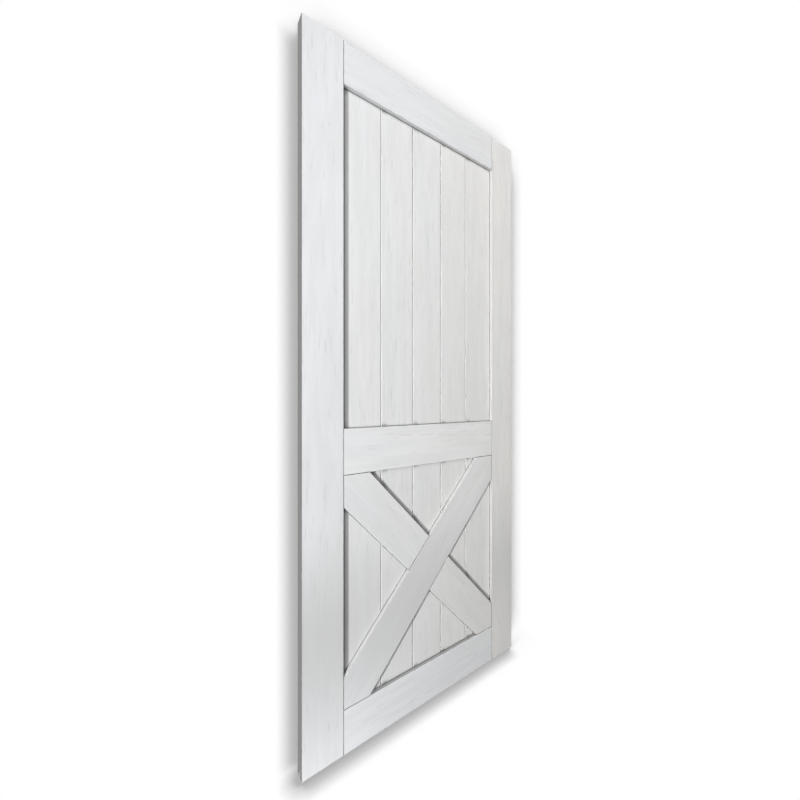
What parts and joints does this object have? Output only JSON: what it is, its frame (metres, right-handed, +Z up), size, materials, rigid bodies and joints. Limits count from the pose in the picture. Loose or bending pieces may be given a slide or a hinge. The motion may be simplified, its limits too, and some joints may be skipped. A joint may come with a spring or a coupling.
{
  "type": "sliding barn door leaf",
  "caption": "Tall whitewashed timber barn door leaf: grooved stile-and-rail frame, V-jointed planks above and below a mid rail, and a flush X brace in the lower field.",
  "frame": {"origin": "middle of the bottom edge, at mid-thickness", "axes": "+Z up along the leaf's height, +Y from the braced front to the plain back, +X to the right as seen from the front"},
  "size_m": [0.9144, 0.035, 2.1336],
  "materials": {
    "frame_boards": "matt whitewash over brushed softwood grain",
    "planks": "matt whitewash over brushed softwood grain",
    "brace_boards": "matt whitewash over brushed softwood grain",
    "dowels": "bare beech",
    "screws": "zinc plated"
  },
  "bodies": {
    "root": {"stile_left": "frame_boards", "stile_right": "frame_boards", "bottom_rail": "frame_boards", "mid_rail": "frame_boards", "top_rail": "frame_boards", "upper_plank_1": "planks", "upper_plank_2": "planks", "upper_plank_3": "planks", "upper_plank_4": "planks", "upper_plank_5": "planks", "lower_plank_1": "planks", "lower_plank_2": "planks", "lower_plank_3": "planks", "lower_plank_4": "planks", "lower_plank_5": "planks", "long_brace": "brace_boards", "upper_short_brace": "brace_boards", "lower_short_brace": "brace_boards", "dowels_bottom_left": "dowels", "dowels_bottom_right": "dowels", "dowels_mid_left": "dowels", "dowels_mid_right": "dowels", "dowels_top_left": "dowels", "dowels_top_right": "dowels", "long_brace_screws": "screws", "upper_short_brace_screws": "screws", "lower_short_brace_screws": "screws"}
  },
  "joints": []
}
